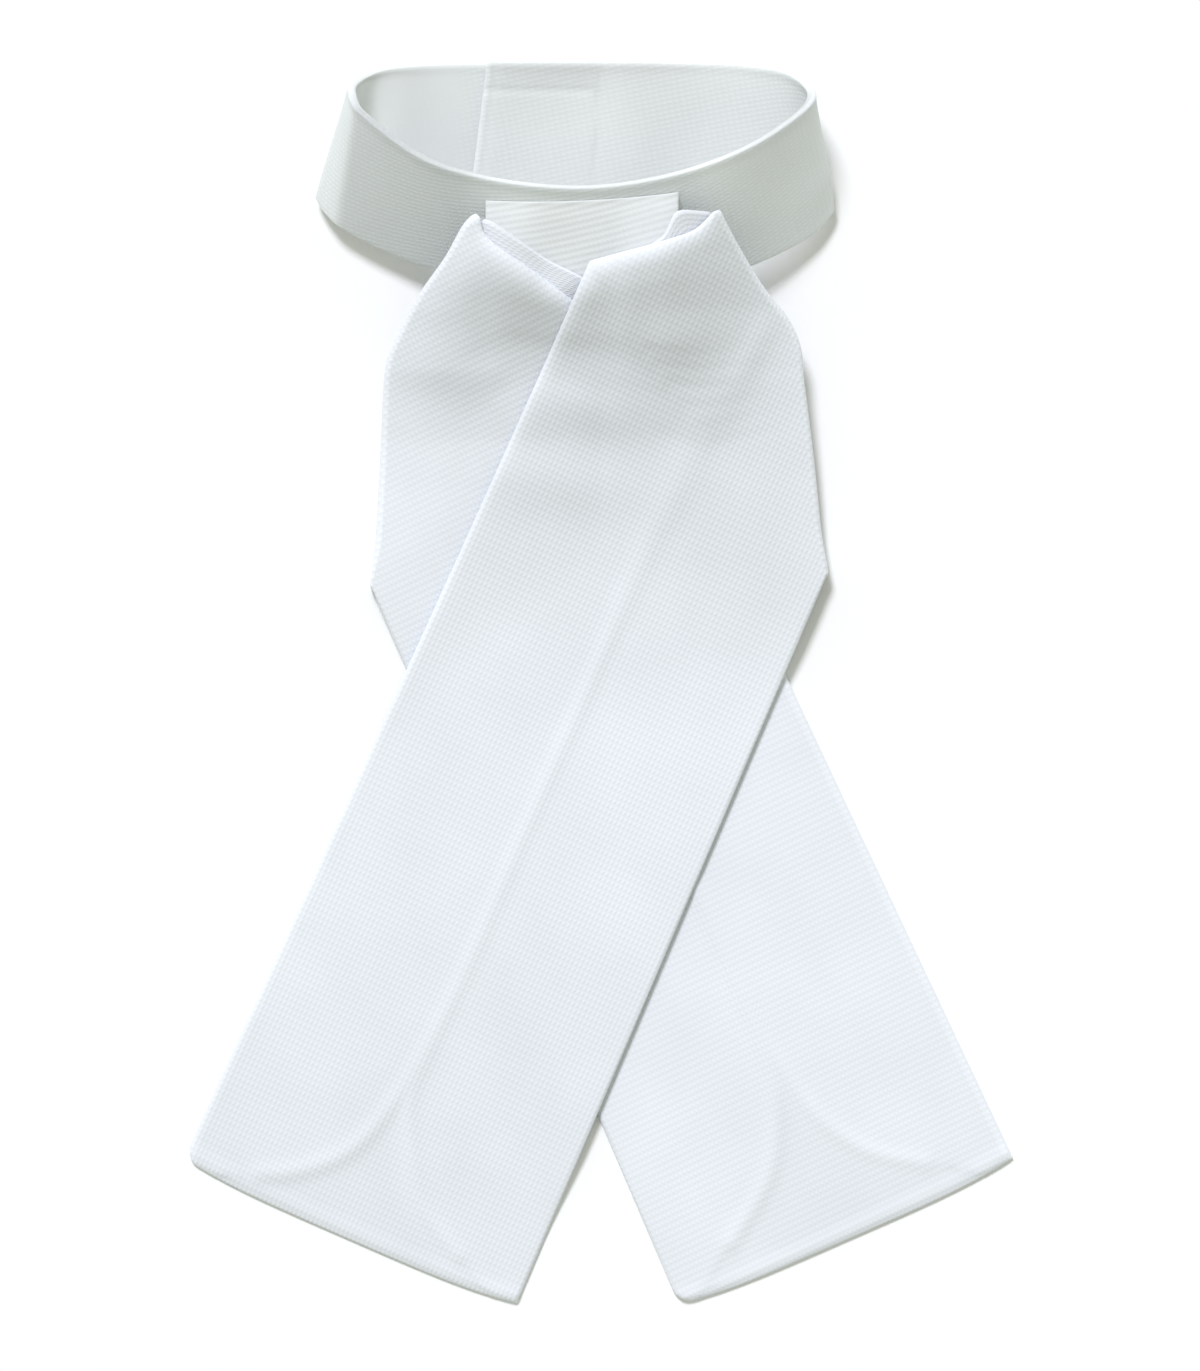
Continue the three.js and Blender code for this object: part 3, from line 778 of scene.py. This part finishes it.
def distance_to(points, places):
    """Distance from places to a smooth line, plain and with the sign of the side that they are on."""
    _, line = curve_through(points, SEAM_LINE_STEPS)
    flat = places.reshape(-1, 2)
    gap = flat[:, None, :] - line[None, :, :]
    near = np.argmin((gap**2).sum(axis=-1), axis=1)
    ahead = np.gradient(line, axis=0)[near]
    away = gap[np.arange(len(flat)), near]
    side = np.sign(ahead[:, 0] * away[:, 1] - ahead[:, 1] * away[:, 0])
    distance = np.linalg.norm(away, axis=1)
    return distance.reshape(places.shape[:-1]), (side * distance).reshape(places.shape[:-1])


def back_layer_share(x, y):
    """How far a tail's back layer lies under its front one: 1 over it, 0 below its edge."""
    edge = BACK_EDGE_Y - BACK_EDGE_FALL * np.abs(x)
    return ease((y - edge + BACK_REACH) / BACK_EASE)


def left_of_line(start, end, x, y):
    """Distance of places to the left of a line."""
    dx, dy = end[0] - start[0], end[1] - start[1]
    return (dx * (y - start[1]) - dy * (x - start[0])) / math.hypot(dx, dy)


def rear_tail_share(x, y):
    """How far the rear tail lies under the front one: 1 over it, 0 outside its two long edges."""
    from_inner = -left_of_line(REAR_TAIL["inner"][0], REAR_TAIL["inner_end"], x, y)
    from_outer = left_of_line(REAR_TAIL["shoulder"][-1], REAR_TAIL["outer_end"], x, y)
    return ease((from_inner + STEP_REACH) / STEP_EASE) * ease((from_outer + STEP_REACH) / STEP_EASE)


def lean_factor(x, y):
    """Upright size of a wall that leans with the drape."""
    up = (drape_height(x, y + 1) - drape_height(x, y - 1)) / 2
    aside = (drape_height(x + 1, y) - drape_height(x - 1, y)) / 2
    return np.sqrt(1 + up**2 + aside**2)


def back_height(x, y):
    """Middle of the layers that lie on the drape: the back layer of each tail."""
    return drape_height(x, y) + TAIL_REST_HEIGHT * lean_factor(x, y)


def rear_height(x, y):
    """Middle of the rear tail's front layer."""
    folded = 2 * TAIL_FOLD_RADIUS * back_layer_share(x, y) * lean_factor(x, y)
    return back_height(x, y) + folded + dented(REAR_DENTS, x, y)


def front_height(x, y):
    """Middle of the front tail's front layer, which crosses the rear tail."""
    over_rear = LAYER_STEP * rear_tail_share(x, y) * lean_factor(x, y)
    return rear_height(x, y) + over_rear + dented(FRONT_DENTS, x, y)


def tail_run(tail, across):
    """Straight part of a tail: its length, and its places at a share from the knot to the end."""
    s = across / TAIL_WIDTH
    inner_end, outer_end = np.array(tail["inner_end"]), np.array(tail["outer_end"])
    inner_top, outer_top = np.array(tail["inner"][0]), np.array(tail["shoulder"][-1])
    run_way = outer_end - outer_top
    run_way = run_way / np.linalg.norm(run_way)
    outer_bend = outer_top + run_way * BEND_DROP
    run_length = np.linalg.norm(outer_end - outer_bend)

    def straight(t):
        beyond = max(0, 1 - (1 - t) * run_length / CORNER_RADIUS)
        cut = CORNER_RADIUS / TAIL_WIDTH * (1 - math.sqrt(1 - beyond**2))
        share = s + (1 - s) * cut if tail["round_corner"] == "inner" else s * (1 - cut)
        bow = TAIL_END_BOW * (1 - (2 * share - 1) ** BOW_POWER) * t**BOW_FADE
        top = mix(inner_top, outer_bend, share[:, None])
        end = mix(inner_end, outer_end, share[:, None])
        return mix(top, end, t) + run_way * bow[:, None]

    return run_length, straight


def fold_of(tail, across):
    """Where a tail folds over at its shoulder: line, direction outwards, and share of its size."""
    s = across / TAIL_WIDTH
    outline = curve_through(tail["shoulder"])
    ahead = along(outline, np.minimum(1, s + OUTLINE_NUDGE))
    ahead = ahead - along(outline, np.maximum(0, s - OUTLINE_NUDGE))
    ahead /= np.linalg.norm(ahead, axis=-1, keepdims=True)
    outward = np.stack([-ahead[:, 1], ahead[:, 0]], axis=-1) * tail["side"]
    size = 1 - ease((s - FOLD_TAPER_START) / (1 - FOLD_TAPER_START))
    inset = (TAIL_FOLD_RADIUS + TAIL_THICKNESS / 2) * size
    return along(outline, s) - outward * inset[:, None], outward, size


def tail_rows(tail, height, across):
    """Middle of a tail in rows from its free end to its gathered end, and how far from the free
    end each row of the front layer is."""
    s = across / TAIL_WIDTH
    run_length, straight = tail_run(tail, across)
    fold_line, outward, fold_size = fold_of(tail, across)
    inner, back = curve_through(tail["inner"]), curve_through(tail["back"])
    pull = ((1 - s) ** TOP_EDGE_PULL)[:, None]
    roll = np.clip(1 - across / TOP_ROLL_WIDTH, 0, 1) ** 2
    rows, from_end = [], []

    def on_front(p, rolled):
        top = height(p[:, 0], p[:, 1])
        rest = back_height(p[:, 0], p[:, 1]) + EDGE_REST * lean_factor(p[:, 0], p[:, 1])
        drop = np.clip(top - rest, 0, TOP_ROLL_DROP)
        return np.column_stack([p, top - drop * roll * rolled])

    for walked in edge_spread(run_length, HEM_RADIUS, FINE_STEP)[: -EDGE_STEPS - 1]:
        t = 1 - walked / run_length
        rows.append(on_front(straight(t), (1 - t) ** ROLL_FADE))
        from_end.append(walked)
    for i in range(TURN_STEPS + 1):
        t = i / TURN_STEPS
        edge = along(inner, t) - mix(along(inner, 0), along(inner, 1), t)
        rows.append(on_front(mix(straight(0), fold_line, t) + edge * pull, 1 - t**ROLL_FADE))
        from_end.append(run_length)
    for i in range(1, FOLD_STEPS + 1):
        angle = math.pi * i / FOLD_STEPS
        place = fold_line + outward * (TAIL_FOLD_RADIUS * math.sin(angle) * fold_size)[:, None]
        top = height(place[:, 0], place[:, 1])
        low = back_height(place[:, 0], place[:, 1])
        z = (top + low) / 2 + (top - low) / 2 * math.cos(angle)
        rows.append(np.column_stack([place, z]))
    gather = tail["gather"]
    end = np.column_stack([0 * s + gather["x"], mix(gather["top"], gather["low"], s)])
    pleat = (1 - np.cos(2 * math.pi * PLEAT_COUNT * s)) / 2
    for i in range(1, BACK_STEPS + 1):
        t = i / BACK_STEPS
        edge = along(back, t) - mix(along(back, 0), end[0], t)
        place = mix(fold_line, end, t) + edge * pull
        gathered = PLEAT_DEPTH * pleat * ease((t - PLEAT_START) / PLEAT_EASE)
        rows.append(np.column_stack([place, back_height(place[:, 0], place[:, 1]) + gathered]))
    return np.array(rows), np.array(from_end)


def tail_weave(tail, middle, across, front_rows):
    """Places across and along the flat cloth: straight on over the front layer and the fold, and
    from the long edge on the back layer."""
    way = np.array(tail["inner_end"]) - np.array(tail["inner"][0])
    way = way / np.linalg.norm(way)
    flat = middle[..., :2]
    u, v = flat @ np.array([-way[1], way[0]]), flat @ way
    walked = np.linalg.norm(np.diff(middle[front_rows - 1 :], axis=0), axis=-1).cumsum(axis=0)
    last_u, last_v = (a[front_rows - 1] - a[front_rows - 3] for a in (u, v))
    last = np.hypot(last_u, last_v)
    folded = slice(front_rows, front_rows + FOLD_STEPS)
    u[folded] = u[front_rows - 1] + (walked * last_u / last)[:FOLD_STEPS]
    v[folded] = v[front_rows - 1] + (walked * last_v / last)[:FOLD_STEPS]
    u[front_rows + FOLD_STEPS :] = across[None, :]
    v[front_rows + FOLD_STEPS :] = walked[FOLD_STEPS:]
    return u, v


def tail_details(tail, seams, flat, across, end_distance, front_rows):
    """Relief of the seams and hems that press through, and the share by which the cloth is whiter:
    painted highlights on the hems, painted shade in the pockets, painted light on the shaded back
    layer, and a tone towards the free end.
    """
    centre, left_arc, right_arc = seams
    left_soft, right_soft = POCKET_SOFT
    spread = 1 + SEAM_SPREAD * np.maximum(0, flat[..., 1] - SEAM_SPREAD_Y)
    relief, pocket = 0, 1
    lines = (centre, 0, 1), (left_arc, 1, left_soft), (right_arc, -1, right_soft)
    for line, inside, soft in lines:
        distance, signed = distance_to(line, flat)
        relief = np.maximum(relief, SEAM_HEIGHT * bump_of(distance, SEAM_WIDTH * spread))
        if inside:
            pocket = pocket * ease(inside * signed / soft)
    pocket = pocket * (flat[..., 1] < POCKET_TOP_Y)
    end_ridge = SEAM_HEIGHT * bump_of(end_distance - END_RIDGE_AT, END_RIDGE_WIDTH)
    relief = np.maximum(relief, end_ridge) - POCKET_DEPTH * pocket
    relief[front_rows:] = 0
    low = ease((END_WHITE_START_Y - flat[..., 1]) / END_WHITE_REACH)
    painted_light_and_tone = (
        EDGE_HEM_HIGHLIGHT * ease(1 + EDGE_HEM - across)[None, :]
        + POCKET_SHADE * pocket
        + END_HEM_HIGHLIGHT * ease(1 + END_HEM - end_distance)
        + tail["end_white"] * low
    )
    painted_light_and_tone[front_rows:] += BACK_LAYER_PAINTED_LIGHT
    return relief, painted_light_and_tone


def make_tail(name, tail, height, material, seams):
    across = edge_spread(TAIL_WIDTH, HEM_RADIUS, FINE_STEP)
    middle, from_end = tail_rows(tail, height, across)
    front_rows = len(from_end)
    from_end = np.append(from_end, [from_end[-1]] * (len(middle) - front_rows))
    end_distance = from_end[:, None] + 0 * across
    u, v = tail_weave(tail, middle, across, front_rows)
    relief, painted_light_and_tone = tail_details(tail, seams, middle[..., :2], across, end_distance, front_rows)
    sides = roundness(np.minimum(across, TAIL_WIDTH - across), HEM_RADIUS)
    round_off = sides * roundness(end_distance, HEM_RADIUS)
    round_off[-1] = 0
    if tail["side"] > 0:
        middle, round_off, u, v, relief, painted_light_and_tone = (
            a[:, ::-1] for a in (middle, round_off, u, v, relief, painted_light_and_tone)
        )
    return cloth_wall(
        name,
        middle,
        round_off,
        TAIL_THICKNESS,
        material,
        weave=(u, v),
        relief=(relief, 0),
        painted_light_and_tone=(painted_light_and_tone, 0),
    )


# Cloth: the swing of the two waves that its raised dots are made of, the yarn and the soft clouds
# over it, how far pressing flattens the dots, and how the dots differ from the gaps between them,
# which are darker by painted shade
SWINGS = (0.5, 0.43)
RIBBED_SWINGS = (0.5, 0.2)
NO_TINT = (1, 1, 1)
YARN_SCALE = 2600
YARN_DETAIL = 3
YARN_HEIGHT = 0.22
CLOUD_SCALE = 28
CLOUD_DETAIL = 4
CLOUD = 0.13
PRESSED = 0.85
DOT_MIDDLE = 0.5
DOT_TONE = 0.75
CLOUD_TONE = 0.35
GAP_STOP = 0.05
DOT_STOP = 0.75
GAP_ROUGHNESS = 0.92
DOT_SHINE = 0.16
SHEEN = 0.12
SHEEN_ROUGHNESS = 0.5
SPECULAR = 0.25


def link(tree, *pairs):
    for out, into in pairs:
        tree.links.new(out, into)


def cloth_material(
    name, colour, gap_shade_colour, turn_deg, pitch, depth, swings=SWINGS, inner_painted_tint=NO_TINT
):
    """Dotted pique: rows of small raised dots, with fine yarn between them, and painted shade in the
    gaps between the dots.

    pitch is that of the dots across and along, and depth their height, in millimetres.
    The inner tint colours the side that faces the wearer: a painted tint that offsets the bluer key
    light in the hollow of the ring."""
    material = bpy.data.materials.new(name)
    material.use_nodes = True
    tree = material.node_tree
    nodes = tree.nodes
    shader = nodes["Principled BSDF"]

    def math_node(kind, *values):
        node = nodes.new("ShaderNodeMath")
        node.operation = kind
        for socket, value in zip(node.inputs, values):
            if isinstance(value, (int, float)):
                socket.default_value = value
            else:
                tree.links.new(value, socket)
        return node.outputs[0]

    def map_node(name):
        """A named map of the cloth, and its two values."""
        node = nodes.new("ShaderNodeUVMap")
        node.uv_map = name
        parts = nodes.new("ShaderNodeSeparateXYZ")
        tree.links.new(node.outputs[0], parts.inputs[0])
        return node, parts

    def noise_node(scale, detail):
        node = nodes.new("ShaderNodeTexNoise")
        node.inputs["Scale"].default_value = scale
        node.inputs["Detail"].default_value = detail
        tree.links.new(body.outputs["Object"], node.inputs[0])
        return node.outputs[0]

    body = nodes.new("ShaderNodeTexCoord")
    yarn = noise_node(YARN_SCALE, YARN_DETAIL)
    cloud = noise_node(CLOUD_SCALE, CLOUD_DETAIL)
    place, face = map_node("Weave")
    _, shades = map_node("Shade")

    turn = nodes.new("ShaderNodeMapping")
    turn.inputs["Rotation"].default_value[2] = math.radians(turn_deg)
    split = nodes.new("ShaderNodeSeparateXYZ")
    link(tree, (place.outputs[0], turn.inputs[0]), (turn.outputs[0], split.inputs[0]))
    waves = []
    for axis, (size, swing) in enumerate(zip(pitch, swings)):
        turns = math_node("MULTIPLY", split.outputs[axis], 2 * math.pi / (size * MM))
        swung = math_node("MULTIPLY", math_node("SINE", turns), swing)
        waves.append(math_node("ADD", swung, 1 - swing))
    woven = math_node("MULTIPLY", *waves)
    sunk = math_node("MULTIPLY", math_node("SUBTRACT", DOT_MIDDLE, woven), shades.outputs[1])
    dots = math_node("ADD", woven, math_node("MULTIPLY", sunk, PRESSED))

    bump = nodes.new("ShaderNodeBump")
    bump.inputs["Distance"].default_value = depth * MM
    bump.inputs["Strength"].default_value = 1.0
    height = math_node("ADD", dots, math_node("MULTIPLY", yarn, YARN_HEIGHT))
    link(tree, (height, bump.inputs["Height"]), (bump.outputs[0], shader.inputs["Normal"]))

    ramp = nodes.new("ShaderNodeValToRGB")
    stops = ramp.color_ramp.elements
    for stop, position, shown in ((stops[0], GAP_STOP, gap_shade_colour), (stops[1], DOT_STOP, colour)):
        stop.position = position
        stop.color = (*shown, 1)
    clouds = math_node("MULTIPLY", cloud, CLOUD_TONE)
    tone = math_node("ADD", math_node("MULTIPLY", dots, DOT_TONE), clouds)
    # The Shade map's first value adds painted light and shade, and the clouds add tone at random;
    # together they scale the colour
    clouded = math_node("ADD", math_node("MULTIPLY", cloud, CLOUD), 1 - CLOUD / 2)
    gain = math_node("ADD", shades.outputs[0], clouded)
    whiter = nodes.new("ShaderNodeVectorMath")
    whiter.operation = "SCALE"
    link(tree, (tone, ramp.inputs[0]), (ramp.outputs[0], whiter.inputs[0]))
    tree.links.new(gain, whiter.inputs["Scale"])

    tint = nodes.new("ShaderNodeMix")
    tint.data_type = "RGBA"
    tint.blend_type = "MULTIPLY"
    factor, first, second = (tint.inputs[k] for k in (0, 6, 7))
    second.default_value = (*inner_painted_tint, 1)
    inner_side = math_node("GREATER_THAN", face.outputs[0], 0)
    link(tree, (inner_side, factor), (whiter.outputs[0], first))
    tree.links.new(tint.outputs[2], shader.inputs["Base Color"])

    rough = math_node("SUBTRACT", GAP_ROUGHNESS, math_node("MULTIPLY", dots, DOT_SHINE))
    tree.links.new(rough, shader.inputs["Roughness"])
    shader.inputs["Sheen Weight"].default_value = SHEEN
    shader.inputs["Sheen Roughness"].default_value = SHEEN_ROUGHNESS
    shader.inputs["Specular IOR Level"].default_value = SPECULAR
    return material


# Colour of the tails' cloth, and the darker colour between its dots, which is painted shade
COTTON = (0.78, 0.806, 0.851)
COTTON_GAP_SHADE = (0.762, 0.788, 0.831)
# The band and the tab are given greyer, less blue cloth than the tails: painted shade for the ring's
# hollow, its steep front and the tab, and a tint against the bluer key light
band_cloth = cloth_material(
    "band_pique",
    colour=(0.728, 0.758, 0.76),
    gap_shade_colour=(0.693, 0.723, 0.725),
    turn_deg=13,
    pitch=(1.45, 1.93),
    depth=0.05,
    inner_painted_tint=(0.995, 0.985, 0.975),
)
tab_cloth = cloth_material(
    "tab_pique",
    colour=(0.722, 0.742, 0.74),
    gap_shade_colour=(0.7, 0.72, 0.718),
    turn_deg=-13,
    pitch=(2.35, 1.42),
    depth=0.085,
    swings=RIBBED_SWINGS,
)
tail_cloth = cloth_material(
    "tail_pique", COTTON, COTTON_GAP_SHADE, turn_deg=0, pitch=(1.42, 1.93), depth=0.1
)
tape = cloth_material(
    "fastener_loops", COTTON, COTTON_GAP_SHADE, turn_deg=30, pitch=(0.8, 0.8), depth=0.3
)

band = make_band(band_cloth)
fastener = make_fastener(tape)
tab = make_tab(tab_cloth)
rear = make_tail(
    "tail_rear_piece",
    REAR_TAIL,
    rear_height,
    tail_cloth,
    seams=(REAR_CENTRE_LINE, REAR_LEFT_ARC, REAR_RIGHT_ARC),
)
front = make_tail(
    "tail_front_piece",
    FRONT_TAIL,
    front_height,
    tail_cloth,
    seams=(FRONT_CENTRE_LINE, FRONT_LEFT_ARC, FRONT_RIGHT_ARC),
)

for piece, node, slot in (
    (band, "neckband", "band_cloth"),
    (fastener, "touch_fastener", "fastener_tape"),
    (tab, "knot_tab", "tab_cloth"),
    (rear, "tail_rear", "tail_cloth"),
    (front, "tail_front", "tail_cloth"),
):
    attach(piece, "root")
    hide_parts(node)

# Floor, light and camera, in metres
FLOOR_HALF = 4.0
FLOOR_COLOUR = (0.94, 0.94, 0.94, 1)
FLOOR_ROUGHNESS = 0.9
SUN_FROM = (-0.3, 0.9, 1.0)
SUN_ENERGY = 2.7
SUN_ANGLE_DEG = 16
SUN_COLOUR = (0.895, 0.9, 1.0)
STUDIO_COLOUR = (0.92, 0.95, 0.83, 1)
STUDIO_STRENGTH = 0.55
CAMERA_PLACE = (-0.00031, -0.00086, 2.5)
CAMERA_SENSOR_MM = 36
CAMERA_LENS_MM = 213.0
CAMERA_REACH = 50

floor_signs = (-1, -1), (1, -1), (1, 1), (-1, 1)
floor_corners = [(x * FLOOR_HALF, y * FLOOR_HALF, 0) for x, y in floor_signs]
floor_mesh = bpy.data.meshes.new("floor")
floor_mesh.from_pydata(floor_corners, [], [(0, 1, 2, 3)])
floor = in_scene("floor", floor_mesh)
paper = bpy.data.materials.new("floor_white")
paper.use_nodes = True
paper_shader = paper.node_tree.nodes["Principled BSDF"]
paper_shader.inputs["Base Color"].default_value = FLOOR_COLOUR
paper_shader.inputs["Roughness"].default_value = FLOOR_ROUGHNESS
floor_mesh.materials.append(paper)

sun_data = bpy.data.lights.new("key", "SUN")
sun_data.energy = SUN_ENERGY
sun_data.angle = math.radians(SUN_ANGLE_DEG)
sun_data.color = SUN_COLOUR
sun = in_scene("key", sun_data)
sun.rotation_euler = Vector(SUN_FROM).to_track_quat("Z", "Y").to_euler()

world = bpy.data.worlds.new("studio")
world.use_nodes = True
background = world.node_tree.nodes["Background"]
background.inputs["Color"].default_value = STUDIO_COLOUR
background.inputs["Strength"].default_value = STUDIO_STRENGTH
bpy.context.scene.world = world
bpy.context.scene.view_settings.view_transform = "Standard"

camera_data = bpy.data.cameras.new("camera")
camera_data.sensor_width = CAMERA_SENSOR_MM
camera_data.lens = CAMERA_LENS_MM
camera_data.clip_end = CAMERA_REACH
camera = in_scene("camera", camera_data)
camera.location = CAMERA_PLACE
bpy.context.scene.camera = camera
